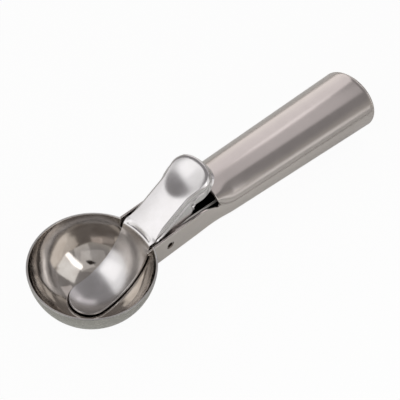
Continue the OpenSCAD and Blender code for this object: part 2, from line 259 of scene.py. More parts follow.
def pointNormals(points, quads, tris):
    # sum of the normals of the faces round each point, by area
    total = np.zeros_like(points)
    across = np.cross(points[quads[:, 2]] - points[quads[:, 0]], points[quads[:, 3]] - points[quads[:, 1]])
    facing = np.cross(points[tris[:, 1]] - points[tris[:, 0]], points[tris[:, 2]] - points[tris[:, 0]])
    for k in range(4):
        np.add.at(total, quads[:, k], across)
    for k in range(3):
        np.add.at(total, tris[:, k], facing)
    return unit(total)


def sheetSolid(points, quads, thickness, edge):
    # A sheet with its outer face on the given points: a second layer lies a thickness behind
    # along the normals, and each free edge is closed by two quarter rounds with a flat between.
    points, quads, tris = weld(points, quads)
    normals = pointNormals(points, quads, tris)
    sides = [(quads[:, k], quads[:, (k + 1) % 4]) for k in range(4)]
    sides += [(tris[:, k], tris[:, (k + 1) % 3]) for k in range(3)]
    a = np.concatenate([s[0] for s in sides])
    b = np.concatenate([s[1] for s in sides])
    count = len(points)
    free = ~np.isin(a * count + b, b * count + a)
    a, b = a[free], b[free]
    along = unit(points[b] - points[a])
    out = np.zeros_like(points)
    np.add.at(out, a, np.cross(along, normals[a]))
    np.add.at(out, b, np.cross(along, normals[b]))
    out = unit(out)
    rim = np.unique(a)
    base = points.copy()
    base[rim] -= edge * out[rim]
    arc = np.radians([30, 60, 90])
    outward = np.concatenate([np.sin(arc), np.sin(arc)[::-1]]) * edge
    depth = np.concatenate([1 - np.cos(arc), thickness / edge - 1 + np.cos(arc)[::-1]]) * edge
    rings = base[rim] + outward[:, None, None] * out[rim] - depth[:, None, None] * normals[rim]
    layers = np.concatenate([base, base - thickness * normals, rings.reshape(-1, 3)])
    slotOf = np.full(count, -1)
    slotOf[rim] = np.arange(len(rim))
    ringCount = len(outward)
    order = [(a, b)]
    for k in range(ringCount):
        start = 2 * count + k * len(rim)
        order.append((start + slotOf[a], start + slotOf[b]))
    order.append((a + count, b + count))
    walls = [np.stack([n[1], n[0], m[0], m[1]], -1) for n, m in zip(order[:-1], order[1:])]
    allQuads = np.concatenate([quads, quads[:, ::-1] + count] + walls)
    allTris = np.concatenate([tris, tris[:, ::-1] + count])
    return layers, allQuads, allTris


def makePiece(name, points, quads, tris):
    mesh = bpy.data.meshes.new(name)
    mesh.from_pydata(place(points).tolist(), [], quads.tolist() + tris.tolist())
    mesh.validate()
    mesh.polygons.foreach_set("use_smooth", np.ones(len(mesh.polygons), bool))
    mesh.update()
    piece = bpy.data.objects.new(name, mesh)
    bpy.context.scene.collection.objects.link(piece)
    return piece


def drill(piece, radius):
    # A round hole through the piece along the pin's axis. A sheet's inner face crosses itself in
    # tight bends, which the cut has to allow for.
    a = np.linspace(0, 2 * math.pi, 73)
    y = np.array([-40.0, -40.0, 40.0, 40.0])
    r = np.array([0.0, radius, radius, 0.0])
    shape = grid(pinX + r[:, None] * np.cos(a), y[:, None], pinZ + r[:, None] * np.sin(a))
    cutter = makePiece("cutter", *weld(*shape))
    cut = piece.modifiers.new("pinHole", "BOOLEAN")
    cut.object = cutter
    cut.operation = "DIFFERENCE"
    cut.solver = "EXACT"
    cut.use_self = True
    graph = bpy.context.evaluated_depsgraph_get()
    mesh = bpy.data.meshes.new_from_object(piece.evaluated_get(graph))
    mesh.name = piece.name
    piece.modifiers.clear()
    piece.data = mesh
    bpy.data.objects.remove(cutter)
    mesh.set_sharp_from_angle(angle=math.radians(40))


# Bowl: the free edge is one outline, round the rim and down into the notch. Rows of points run
# from it to a level ring, which winds down to the lowest point, all on the ball.
def bowlShape():
    half = bowl["notchWidth"] / 2
    corner = bowl["notchCorner"]
    depth = bowl["notchDepth"]
    rimRadius = math.sqrt(ballRadius ** 2 - bowl["ballUp"] ** 2)
    rimTurn = np.linspace(math.asin(half / rimRadius), math.pi, 190)
    bend = np.radians(np.linspace(0, 90, 11))
    # the notch, from its middle out and up to the rim, as y and z
    y = np.concatenate([np.linspace(0, half - corner, 20)[:-1], half - corner + corner * np.sin(bend),
                        np.full(12, half)])
    z = np.concatenate([np.full(19, -depth), -depth + corner * (1 - np.cos(bend)),
                        np.linspace(-depth + corner, 0, 13)[1:]])
    x = np.sqrt(ballRadius ** 2 - y ** 2 - (z - bowl["ballUp"]) ** 2)
    turnAt = np.concatenate([np.arctan2(y, x), rimTurn[1:]])
    height = np.concatenate([z, np.zeros(len(rimTurn) - 1)])
    # the level ring, turned away from the notch's sides so that no two rows cross
    belowNotch = 4.5
    ringZ = -depth - belowNotch
    ringKeys = np.radians([0, 20.5, 24.5, 31, 180])
    # where the row has the notch's middle, the two ends of its corner, its top and the rim's far end
    stops = [0, 19, 29, 41, 40 + len(rimTurn)]
    ringTurn = np.interp(np.arange(len(turnAt)), stops, ringKeys)
    upper = np.linspace(0, 1, 24)[:, None]
    turnRows = mix(turnAt[None], ringTurn[None], smooth(0, 1, upper) * 0.4 + upper * 0.6)
    heightRows = mix(height[None], ringZ, upper)
    lowTurn = np.linspace(math.asin((bowl["ballUp"] - ringZ) / ballRadius), math.pi / 2, 56)[1:, None]
    turnRows = np.concatenate([turnRows, np.broadcast_to(ringTurn, (len(lowTurn), len(ringTurn)))])
    lowRows = bowl["ballUp"] - ballRadius * np.sin(lowTurn)
    heightRows = np.concatenate([heightRows, np.broadcast_to(lowRows, (len(lowTurn), len(ringTurn)))])
    across = np.sqrt(np.maximum(ballRadius ** 2 - (heightRows - bowl["ballUp"]) ** 2, 0))
    return mirrored(*grid(across * np.cos(turnRows), across * np.sin(turnRows), heightRows))


# Ear: a tab of the bowl's sheet that turns in from one side of the notch and runs along the bowl
def earShape():
    rimRadius = math.sqrt(ballRadius ** 2 - bowl["ballUp"] ** 2)
    lineY = bowl["notchWidth"] / 2
    bend = bowl["earBend"]
    start = math.asin((lineY + bend + bowl["earSide"]) / rimRadius)
    # a turn from the rim's own direction to straight back, its middle a bend's radius in
    turnTo = np.linspace(start, -math.pi / 2, 16)
    middleX = rimRadius * math.cos(start) - bend * math.cos(start) - bowl["earSink"]
    middleY = lineY + bend
    runX = middleX - np.linspace(0, bowl["earLength"], 12)[1:]
    x = np.concatenate([middleX + bend * np.cos(turnTo), runX])
    y = np.concatenate([middleY + bend * np.sin(turnTo), np.full(11, lineY)])
    down = np.linspace(0, 1, 12)[:, None]
    # the tab's lower corner is round
    length = np.linspace(0, 1, len(x))
    corner = bowl["earRound"]
    low = bowl["earHeight"] * (1 - corner * np.maximum(0, (length - 1 + corner) / corner) ** 2)
    z = -down * low
    return sheetSolid(*grid(np.broadcast_to(x, z.shape), -y, z), bowl["wall"], bowl["edge"])


def buildBowl():
    points, quads, tris = sheetSolid(*bowlShape(), bowl["wall"], bowl["edge"])
    earPoints, earQuads, earTris = earShape()
    quads = np.concatenate([quads, earQuads + len(points)])
    tris = np.concatenate([tris, earTris + len(points)])
    return makePiece("pressedBowl", np.concatenate([points, earPoints]), quads, tris)


# Handle: each section runs from the middle of the floor, by length, round one side to the top.
# The neck's is a rounded box and the tube's an oval, and one turns into the other at the mouth.
ovalTable = np.radians(np.linspace(-90, 90, 721))
ovalAspect = handle["mouthWidth"] / handle["mouthHeight"]
ovalSteps = np.hypot(ovalAspect * np.diff(np.cos(ovalTable)), np.diff(np.sin(ovalTable)))
ovalShare = np.concatenate([[0], np.cumsum(ovalSteps) / ovalSteps.sum()])


def sectionSizes(x):
    # height of the tube's axis at x, and the oval's width and height there
    along = (x - mouthX) / tubeDir[0]
    f = along / handle["tubeLength"]
    axisZ = -handle["mouthDown"] + tubeDir[1] * along
    width = mix(handle["mouthWidth"], handle["heelWidth"], f)
    height = mix(handle["mouthHeight"], handle["heelHeight"], f)
    return axisZ, width, height


def boxLength(x):
    # half the way round the neck's box at x
    axisZ, _, height = sectionSizes(x)
    corner = handle["neckCorner"]
    wallHeight = axisZ + height / 2 + handle["neckDepth"] - 2 * corner
    return handle["neckWidth"] - 2 * corner + math.pi * corner + wallHeight


def skinPoint(x, share, inset=0.0):
    # point of the handle's skin at x, a share of the way from the floor's middle to the top's
    axisZ, width, height = sectionSizes(x)
    corner = handle["neckCorner"]
    flat = handle["neckWidth"] / 2 - corner
    low = -handle["neckDepth"]
    wallHeight = axisZ + height / 2 - low - 2 * corner
    quarter = math.pi * corner / 2
    way = share * (2 * flat + 2 * quarter + wallHeight)
    first = np.clip(way, 0, flat)
    turnUp = np.clip(way - flat, 0, quarter) / corner
    wall = np.clip(way - flat - quarter, 0, wallHeight)
    turnIn = np.clip(way - flat - quarter - wallHeight, 0, quarter) / corner
    last = np.clip(way - flat - 2 * quarter - wallHeight, 0, flat)
    boxY = first + corner * np.sin(turnUp) - corner * (1 - np.cos(turnIn)) - last
    boxZ = low + corner * (1 - np.cos(turnUp)) + wall + corner * np.sin(turnIn)
    a = np.interp(share, ovalShare, ovalTable)
    m = smooth(neckEndX, ovalX, x)
    y = mix(boxY, (width / 2 - inset) * np.cos(a), m)
    up = mix(boxZ - axisZ, (height / 2 - inset) * np.sin(a), m)
    tilt = dip * m
    return x + up * np.sin(tilt), y, axisZ + up * np.cos(tilt)


def shareAt(x, z):
    # the share of the way round at which the skin at x has height z, from the side's own rise
    shares = np.linspace(0.12, 0.995, 400)
    heights = skinPoint(np.asarray(x)[:, None], shares[None])[2]
    return np.array([np.interp(h, row, shares) for h, row in zip(np.asarray(z), heights)])


def handleShape():
    corner = handle["neckCorner"]
    slotCorner = handle["slotCorner"]
    tubeEnd = mouthX + tubeDir[0] * (handle["tubeLength"] - heel["capThickness"])
    # the slot's edge: a dip that steepens, then a round corner up to the mouth
    dipEndX = mouthX - handle["slotDipEnd"]
    dipLength = dipEndX - neckEndX
    dipPower = handle["slotDipPower"]
    dipX = np.linspace(neckEndX, dipEndX, 22)[1:]
    dipZ = -handle["slotDip"] * ((dipX - neckEndX) / dipLength) ** dipPower
    heading = math.atan(-dipPower * handle["slotDip"] / dipLength)
    cornerUp = slotCorner * np.array([-math.sin(heading), math.cos(heading)])
    middle = np.array([dipX[-1], dipZ[-1]]) + cornerUp
    lipLean = math.radians(handle["lipLean"])
    cornerTurn = np.linspace(heading - math.pi / 2, lipLean, 12)[1:]
    cornerX = middle[0] + slotCorner * np.cos(cornerTurn)
    cornerZ = middle[1] + slotCorner * np.sin(cornerTurn)
    neckSteps = 26
    lastX = cornerX[-1]
    tubeX = np.concatenate([np.linspace(lastX, ovalX, 26)[1:], np.linspace(ovalX, tubeEnd, 52)[1:]])
    # rows across, counted by length in the neck: floor, corner and wall
    flat = handle["neckWidth"] / 2 - corner
    quarter = math.pi * corner / 2
    edgeWay = flat + quarter + handle["neckDepth"] - corner
    ways = np.concatenate([np.linspace(0, flat, 11), flat + np.linspace(0, quarter, 13)[1:],
                           np.linspace(flat + quarter, edgeWay, 17)[1:]])
    rows = ways / edgeWay
    # the front is coped to the ball of the bowl
    boxTurn = np.clip(ways - flat, 0, quarter) / corner
    frontY = np.minimum(ways, flat) + corner * np.sin(boxTurn)
    frontZ = -handle["neckDepth"] + corner * (1 - np.cos(boxTurn)) + np.clip(ways - flat - quarter, 0, None)
    reach = ballRadius + handle["weldGap"]
    copeX = np.sqrt(reach ** 2 - frontY ** 2 - (frontZ - bowl["ballUp"]) ** 2)
    neckShare = np.linspace(0, 1, neckSteps)[:, None]
    neckPart = mix(copeX[None], neckEndX, neckShare)
    neckShareAtTop = edgeWay / boxLength(neckPart)
    neckRing = neckShareAtTop * rows[None]
    # past the neck the columns lean to meet the slot's edge
    slotX = np.concatenate([dipX, cornerX])
    slotZ = np.concatenate([dipZ, cornerZ])
    slotShare = shareAt(slotX, slotZ)
    floorX = np.linspace(neckEndX, lastX, len(slotX) + 1)[1:]
    slotPart = mix(floorX[:, None], slotX[:, None], rows[None] ** 3)
    slotRing = slotShare[:, None] * rows[None]
    tubePart = np.broadcast_to(tubeX[:, None], (len(tubeX), len(rows)))
    tubeRing = np.broadcast_to(slotShare[-1] * rows[None], tubePart.shape)
    lower = skinPoint(np.concatenate([neckPart, slotPart, tubePart]),
                      np.concatenate([neckRing, slotRing, tubeRing]))
    # the mouth's lip, then the top of the tube
    up = np.linspace(0, 1, 34)[None]
    share = mix(slotShare[-1], 1, up)
    lipZ = skinPoint(np.full_like(share, mouthX), share)[2]
    leanTop = cornerZ[-1] + (lastX - mouthX) / math.tan(lipLean)
    lipX = mix(lastX, mouthX, np.clip((lipZ - cornerZ[-1]) / (leanTop - cornerZ[-1]), 0, 1))
    upperX = np.concatenate([lipX, np.broadcast_to(tubeX[:, None], (len(tubeX), share.shape[1]))])
    upper = skinPoint(upperX, np.broadcast_to(share, upperX.shape))
    return mirrored(*joined(grid(*lower, flip=True), grid(*upper, flip=True)))


def buildHandle():
    piece = makePiece("formedHandle", *sheetSolid(*handleShape(), handle["wall"], handle["edge"]))
    drill(piece, pinHole)
    return piece


# Heel cap: rings square to the tube's axis, each with a distance along it and an inset
def buildHeelCap():
    length = handle["tubeLength"]
    edge = heel["edge"]
    inside = handle["wall"] + heel["skirtGap"]
    face = length - edge
    seam = length - heel["capThickness"]
    back = seam - heel["skirt"]
    a = np.radians(np.linspace(0, 90, 9))
    reach = handle["heelHeight"] / 2
    dishShare = np.linspace(0, 1, 9)[1:]
    dishInset = mix(edge, edge + heel["dishRim"], dishShare)
    faceInset = mix(edge + heel["dishRim"], reach, np.linspace(0, 1, 10)[1:])
    dished = length - heel["dish"] * smooth(heel["dishFlat"], 1, dishShare)
    along = np.concatenate([[seam], face + edge * np.sin(a), dished, np.full(9, length - heel["dish"]),
                            np.full(2, seam), [back, back, seam, seam]])
    inset = np.concatenate([[0], edge * (1 - np.cos(a)), dishInset, faceInset,
                            [reach, inside + heel["skirtWall"]],
                            [inside + heel["skirtWall"], inside, inside, 0]])
    turns = np.linspace(0, 2 * math.pi, 161)[None]
    f = along[:, None] / length
    # an inset of the half height draws the ring into a point
    narrow = 1 - np.clip(inset[:, None] / reach, 0, 1)
    wide = mix(handle["mouthWidth"], handle["heelWidth"], f) / 2 - inset[:, None]
    tall = mix(handle["mouthHeight"], handle["heelHeight"], f) / 2 - inset[:, None]
    closed = narrow < 1e-6
    y = np.where(closed, 0, wide) * np.cos(turns)
    up = np.where(closed, 0, tall) * np.sin(turns)
    x = mouthX + tubeDir[0] * along[:, None] + tubeUp[0] * up
    z = -handle["mouthDown"] + tubeDir[1] * along[:, None] + tubeUp[1] * up
    return makePiece("heelCap", *weld(*grid(x, y, z, flip=True)))


# Pin: a profile turned about the pin's axis, hollow at both ends
def buildPin():
    half = handle["neckWidth"] / 2 - pin["endGap"]
    radius = pin["diameter"] / 2
    bore = pin["hollowDiameter"] / 2
    edge = pin["edge"]
    a = np.radians(np.linspace(0, 90, 5))
    # from the bottom of the hollow out over the lip to the middle of the shank
    floorY = half - pin["hollowLength"]
    r = np.concatenate([[0, bore * pin["hollowFlat"], bore], bore + edge * (1 - np.cos(a)),
                        radius - edge + edge * np.sin(a), [radius]])
    y = np.concatenate([[floorY, floorY, floorY + pin["hollowRise"]],
                        half - edge + edge * np.sin(a), half - edge + edge * np.cos(a), [0]])
    r = np.concatenate([r, r[::-1][1:]])
    y = np.concatenate([y, -y[::-1][1:]])
    turns = np.linspace(0, 2 * math.pi, 73)[None]
    x = pinX + r[:, None] * np.cos(turns)
    z = pinZ + r[:, None] * np.sin(turns)
    return makePiece("pivotPin", *weld(*grid(x, y[:, None], z, flip=True)))


# Lever: top line of the stem and pad, plan outline and thumb dimple
stemAngle = math.radians(lever["stemAngle"])
stemSlope = math.tan(stemAngle)
tongueRadius = bowlInside - tongue["gap"] - lever["thickness"]
tongueX = tongue["lean"]
tongueZ = bowl["ballUp"] + tongue["lift"]
halfFlange = lever["flangeWidth"] / 2
creaseX = tongueX + math.sqrt(tongueRadius ** 2 - (halfFlange - lever["shoulder"]) ** 2)
padX = creaseX + lever["stemLength"]
tipX = padX + lever["padLength"]
padNeckX = mix(padX, tipX, lever["padNeckAt"])
padWideX = mix(padX, tipX, lever["padWideAt"])


def topLine(x):
    # height of the lever's top along its middle: a straight stem, and a pad that sags
    return (x - creaseX) * stemSlope - lever["creaseDown"] - lever["padSag"] * (
        np.maximum(0, x - padX) / lever["padLength"]) ** 2


def dimple(x, y):
    # depth times (1 - q) squared, where q is 1 on the dimple's oval edge
    along = (x - mix(padX, tipX, lever["dimpleAt"])) / (lever["padLength"] * lever["dimpleLength"])
    aside = y / (lever["padWidth"] * lever["dimpleWidth"])
    return lever["dimpleDepth"] * np.maximum(0, 1 - along ** 2 - aside ** 2) ** 2


def crosswise(turnDown):
    # how much of the ball's crosswise curve the tongue has: flatter close to the crease
    flatTo, roundFrom = math.radians(tongue["flatTo"]), math.radians(tongue["roundFrom"])
    return mix(tongue["flatShare"], 1, smooth(flatTo, roundFrom, turnDown))


def creaseAt(y):
    # middle of the bend's round, which touches the stem's line and the tongue's ball
    reach = np.sqrt(tongueRadius ** 2 - crosswise(0) * y ** 2) + lever["creaseRadius"]
    drop = -lever["creaseDown"] - lever["creaseRadius"] / math.cos(stemAngle)
    drop -= creaseX * stemSlope + tongueZ
    a = 1 + stemSlope ** 2
    b = 2 * (stemSlope * drop - tongueX)
    c = tongueX ** 2 + drop ** 2 - reach ** 2
    x = (-b + np.sqrt(b * b - 4 * a * c)) / (2 * a)
    return x, x * stemSlope + drop + tongueZ


def groove(behind, y):
    # depth of the groove: steep towards the crease, a slow rise behind, and none at the sides
    middle = lever["grooveDepth"] * np.maximum(0, 1 - (y / (halfFlange - lever["shoulder"])) ** 4)
    slow = (lever["grooveLength"] - behind) / (lever["grooveLength"] - lever["grooveFloor"])
    return middle * smooth(0, lever["grooveWall"], behind) * np.clip(slow, 0, 1) ** 1.6


def padTip(steps):
    # quarter of the tip's outline, where (x / long) and (y / wide) to the same power add up to 1,
    # from its widest point to the middle in equal steps, with its outward directions
    power = lever["padSquare"]
    long, wide = tipX - padWideX, lever["padWidth"] / 2
    a = np.linspace(math.pi / 2, 0, 2001)
    fineX = long * np.abs(np.cos(a)) ** (2 / power)
    fineY = wide * np.sin(a) ** (2 / power)
    way = np.concatenate([[0], np.cumsum(np.hypot(np.diff(fineX), np.diff(fineY)))])
    a = np.interp(np.linspace(0, way[-1], steps)[1:], way, a)
    c, s = np.cos(a), np.sin(a)
    toSide = s ** (2 - 2 / power) / wide
    toTip = c ** (2 - 2 / power) / long
    return padWideX + long * c ** (2 / power), wide * s ** (2 / power), np.stack([toTip, toSide], -1)


def leverShape():
    radius = lever["creaseRadius"]
    # outer outline in plan, from the crease along one side and round the tip, with its normals
    stemX = mix(creaseX, padX, np.linspace(0, 1, 80) ** 1.4)
    sideX = np.concatenate([stemX, np.linspace(padX, padWideX, 40)[1:]])
    sideY = mix(halfFlange, lever["padWidth"] / 2, smooth(padNeckX, padWideX, sideX))
    sideY -= lever["creaseTuck"] * (1 - smooth(creaseX, creaseX + lever["grooveLength"], sideX))
    tipX0, tipY0, tipFacing = padTip(60)
    outX = np.concatenate([sideX, tipX0])
    outY = np.concatenate([sideY, tipY0])
    slope = np.gradient(sideY, sideX)
    facing = unit(np.concatenate([np.stack([-slope, np.ones_like(slope)], -1), tipFacing]))
    facing[0] = [0, 1]
    spineX = np.concatenate([sideX, np.full(len(tipX0), padWideX)])
    shoulder = mix(lever["creaseShoulder"], lever["shoulder"], smooth(creaseX, creaseX + 10, outX))
    shoulder = shoulder + lever["tipRound"] * smooth(padWideX, tipX, outX)
    inX = outX - shoulder * facing[:, 0]
    inY = outY - shoulder * facing[:, 1]
    # rows across, closer together towards the shoulder
    across = 1 - (1 - np.linspace(0, 1, 26)) ** 1.25
    flatX = mix(spineX[:, None], inX[:, None], across[None])
    flatY = inY[:, None] * across[None]
    a = np.radians(np.linspace(0, 90, 10))[1:]
    folded = smooth(creaseX + 1, creaseX + 5, outX) * (1 - smooth(padWideX - 2, padWideX + 3, outX))
    fold = lever["fold"] * folded[:, None]
    roundX = inX[:, None] + (shoulder[:, None] - fold) * facing[:, :1] * np.sin(a)
    roundY = inY[:, None] + (shoulder[:, None] - fold) * facing[:, 1:] * np.sin(a)
    drop = np.concatenate([np.zeros_like(flatX), shoulder[:, None] * (1 - np.cos(a))], 1)
    x = np.concatenate([flatX, roundX], 1)
    y = np.concatenate([flatY, roundY], 1)
    # the first rows bow out to the crease, whose middle lies nearer the handle than its ends
    middleX, _ = creaseAt(y)
    behind = spineX[:, None] - creaseX
    away = smooth(0, lever["creaseBow"], behind)
    x = x + (middleX - radius * math.sin(stemAngle) - creaseX) * (1 - away)
    z = topLine(x) - dimple(x, y) - drop - lever["crown"] * away * (y / halfFlange) ** 2
    z = z - groove(behind, y)
    # skirt and flange hang from the shoulder down to a lower edge, which runs round the lug, in
    # rows that lie closer together near the shoulder
    low = lowerEdge(outX, x[:, -1])
    down = np.linspace(0, 1, 36)[1:][None] ** 1.7
    skirtX = mix(x[:, -1:], low[0][:, None], down)
    skirtZ = mix(z[:, -1:], low[1][:, None], down)
    depth = z[:, -1:] - skirtZ
    flare = (lever["skirtFlare"] * smooth(padWideX - 4, tipX, outX))[:, None] * down
    step = fold * smooth(0, lever["foldHeight"], depth)
    skirtX = skirtX + (step + flare) * facing[:, :1]
    skirtY = y[:, -1:] + step * facing[:, 1:]
    # up to the pad the lower part is a flat flange
    flat = (1 - smooth(padX + 6, padX + 10, outX))[:, None] * smooth(1.5, 5, depth)
    skirtY = mix(skirtY, np.minimum(skirtY, halfFlange), flat) + flare * facing[:, 1:]
    hood = grid(np.concatenate([x, skirtX], 1), np.concatenate([y, skirtY], 1),
                np.concatenate([z, skirtZ], 1))
    return mirrored(*joined(hood, tongueShape(inY[0] * across)))


def lowerEdge(stations, outX):
    # x and z of the lower edge for each station along the outline
    lug = lever["lugRadius"]
    down = -lever["flangeDown"]
    flangeX = pinX + lever["flangeBack"]
    cornerX = flangeX - lever["flangeCorner"]
    sideLow = topLine(padWideX) - lever["skirtHeight"]
    tipLow = topLine(tipX) - lever["tipSkirt"]
    frontKeys = np.array([creaseX, creaseX + 2.8, pinX - lug - 1.0])
    frontZ = np.array([down - 0.9, down, down])
    # half a circle round the lug
    a = np.radians(np.linspace(180, 360, 25))
    lugX = np.concatenate([[pinX - lug - 0.4, pinX - lug], pinX + lug * np.cos(a),
                           [pinX + lug, pinX + lug + 0.4]])
    lugZ = np.concatenate([[down, down - 0.5], pinZ + lug * np.sin(a), [down - 0.5, down]])
    lugKeys = np.linspace(pinX - lug - 0.4, pinX + lug + 0.4, len(lugX))
    # the flange's round rear corner and its back, which leans forward
    bend = np.radians([0, 30, 60, 90])
    roundX = cornerX + (flangeX + 0.4 - cornerX) * np.sin(bend)
    rearX = np.concatenate([[pinX + lug + 1.5, cornerX - 4.3], roundX, [flangeX + 0.3, flangeX - 0.4]])
    rearZ = down + np.concatenate([[0, 0.1], 1.3 + 3.6 * (1 - np.cos(bend)), [6.0, 7.1]])
    rearKeys = np.concatenate([[pinX + lug + 1.5, cornerX - 4.3], flangeX + np.linspace(-3.8, 0.8, 6)])
    # the skirt's edge: a slow climb to the pad's widest place, then up round the corner to the tip
    skirtShares = np.array([0.56, 0.7, 0.76, 0.82, 0.88])
    skirtX = np.concatenate([[flangeX + 1.2, flangeX + 3.2], mix(padX, tipX, skirtShares), [tipX]])
    skirtZ = np.concatenate([sideLow + np.array([-2.8, -1.2, -0.2, 2.0, 3.6]),
                             tipLow - np.array([1.8, 0.4, 0])])
    skirtKeys = skirtX + np.array([0.6, 0.2, 0, 0, 0, 0, 0, 0])
    keys = np.concatenate([frontKeys, lugKeys, rearKeys, skirtKeys])
    edgeX = np.concatenate([frontKeys, lugX, rearX, skirtX])
    edgeZ = np.concatenate([frontZ, lugZ, rearZ, skirtZ])
    ends = (stations > flangeX + 2.2) | (stations < creaseX + 5)
    x = np.interp(stations, keys, edgeX) + np.where(ends, outX - stations, 0)
    return x, np.interp(stations, keys, edgeZ)


def tongueShape(firstY):
    # the bend at the crease, then a strip of a ball's inside with a round tip
    radius = lever["creaseRadius"]
    share = firstY / firstY[-1]
    half = tongue["width"] / 2
    middleX, middleZ = creaseAt(firstY)
    down = np.arctan2(tongueZ - middleZ, middleX - tongueX)
    toStem = math.pi / 2 + stemAngle
    toTongue = math.pi - down
    bendTurn = mix(toStem, toTongue[None], np.linspace(0, 1, 9)[:, None])
    bendX = middleX + radius * np.cos(bendTurn)
    bendZ = middleZ + radius * np.sin(bendTurn)
    bendY = np.broadcast_to(firstY, bendX.shape)
    tipLength = half
    tipStart = math.radians(tongue["sweep"]) - tipLength / tongueRadius
    along = np.linspace(0, 1, 74)[1:, None]
    sweepRows = mix(down[None], tipStart, along)
    widthRows = mix(firstY[-1], half, smooth(0, tongue["widenOver"], along))
    # the round tip: a half disc mapped from a square
    p = np.linspace(0, 1, 22)[1:, None]
    tipSweep = tipStart + tipLength / tongueRadius * p * np.sqrt(1 - share ** 2 / 2)
    tipY = half * share * np.sqrt(1 - p ** 2 / 2)
    sweep = np.concatenate([sweepRows, tipSweep])
    y = np.concatenate([widthRows * share, tipY])
    ball = np.sqrt(tongueRadius ** 2 - crosswise(sweep) * y ** 2)
    x = np.concatenate([bendX, tongueX + ball * np.cos(sweep)])
    y = np.concatenate([bendY, y])
    z = np.concatenate([bendZ, tongueZ - ball * np.sin(sweep)])
    return grid(x, y, z, flip=True)


def buildLever():
    piece = makePiece("thumbLever", *sheetSolid(*leverShape(), lever["thickness"], lever["edge"]))
    drill(piece, pinHole)
    return piece


# Spring: wire round a path of straight legs with round bends and a coil about the pin
def bendPath(corners, radius):
    # straight lines between the corners, with each inner corner a parabola a radius long each way
    path = [corners[0]]
    for before, corner, after in zip(corners[:-2], corners[1:-1], corners[2:]):
        start = corner + radius * unit(before - corner)
        end = corner + radius * unit(after - corner)
        t = np.linspace(0, 1, 9)[:, None]
        path += list((1 - t) ** 2 * start + 2 * t * (1 - t) * corner + t ** 2 * end)
    return np.array(path + [corners[-1]])


def springPath():
    wire = spring["wire"]
    coil = spring["coilRadius"]
    y = halfFlange - lever["thickness"] - spring["sideGap"] - wire / 2
    centre = np.array([pinX, pinZ])
    shortTurn = math.radians(spring["shortLegAngle"])
    shortDir = np.array([math.cos(shortTurn), math.sin(shortTurn)])
    shortStart = centre + coil * np.array([math.sin(shortTurn), -math.cos(shortTurn)])
    under = (lever["thickness"] + wire / 2 + spring["legGap"]) / math.cos(stemAngle)
    shortLength = (topLine(shortStart[0]) - under - shortStart[1]) / (shortDir[1] - shortDir[0] * stemSlope)
    stemEnd = shortStart + shortLength * shortDir
    shortTip = stemEnd + spring["shortFoot"] * np.array([math.cos(stemAngle), math.sin(stemAngle)])
    # the long leg lies along the tube and bends down to its floor
    longTop = centre + coil * tubeUp
    longBend = longTop + spring["longLeg"] * tubeDir
    endX = longBend[0] + spring["longFoot"]
    axisZ, width, height = sectionSizes(endX)
    inWide, inTall = width / 2 - handle["wall"], height / 2 - handle["wall"]
    floor = axisZ - inTall * math.sqrt(1 - ((y + wire / 2) / inWide) ** 2)
    longEnd = np.array([endX, floor + wire / 2 + spring["legGap"]])
    longLeg = bendPath(np.insert([longEnd, longBend, longTop], 1, -y, axis=1), spring["bend"])
    first = math.pi / 2 - dip
    last = 2 * math.pi * spring["turns"] + 1.5 * math.pi + shortTurn
    a = np.linspace(first, last, int((last - first) / math.radians(12)))
    wound = np.stack([pinX + coil * np.cos(a), np.linspace(-y, y, len(a)), pinZ + coil * np.sin(a)], -1)
    shortLeg = bendPath(np.insert([shortStart, stemEnd, shortTip], 1, y, axis=1), spring["bend"])
    return np.concatenate([longLeg[:-1], wound, shortLeg[1:]]), stemEnd


def buildSpring():
    path, stemEnd = springPath()
    radius = spring["wire"] / 2
    ahead = unit(np.gradient(path, axis=0))
    outward = unit(np.cross(ahead, [0, 1, 0.001]))
    upward = np.cross(ahead, outward)
    # both ends are cut square: rings that draw in to a point
    closing = np.array([0, 0.5, 0.9])
    size = np.concatenate([closing, np.ones(len(path)), closing[::-1]]) * radius
    frames = (np.concatenate([v[:1]] * 3 + [v] + [v[-1:]] * 3) for v in (path, outward, upward))
    path, outward, upward = frames
    a = np.linspace(0, 2 * math.pi, 15)[None, :, None]
    rings = path[:, None] + size[:, None, None] * (np.cos(a) * outward[:, None]
                                                   + np.sin(a) * upward[:, None])
    piece = makePiece("torsionSpring", *weld(*grid(rings[..., 0], rings[..., 1], rings[..., 2], flip=True)))
    return piece, stemEnd


pressedBowl = buildBowl()
formedHandle = buildHandle()
heelCap = buildHeelCap()
pivotPin = buildPin()
thumbLever = buildLever()
torsionSpring, shortEnd = buildSpring()
print("shapes made")


# Materials
def linear(hexColour):
    # sRGB hex to linear
    parts = [int(hexColour[k:k + 2], 16) / 255 for k in (1, 3, 5)]
    return [p / 12.92 if p <= 0.04045 else ((p + 0.055) / 1.055) ** 2.4 for p in parts] + [1]


def addNode(tree, kind, settings=None, links=None):
    # a node with its settings, its fixed inputs and its links
    node = tree.nodes.new(kind)
    for name, value in (settings or {}).items():
        if isinstance(name, str) and hasattr(node, name):
            setattr(node, name, value)
        else:
            node.inputs[name].default_value = value
    for name, source in (links or {}).items():
        tree.links.new(source, node.inputs[name])
    return node


def newMaterial(name):
    material = bpy.data.materials.new(name)
    material.use_nodes = True
    material.node_tree.nodes.clear()
    return material, material.node_tree


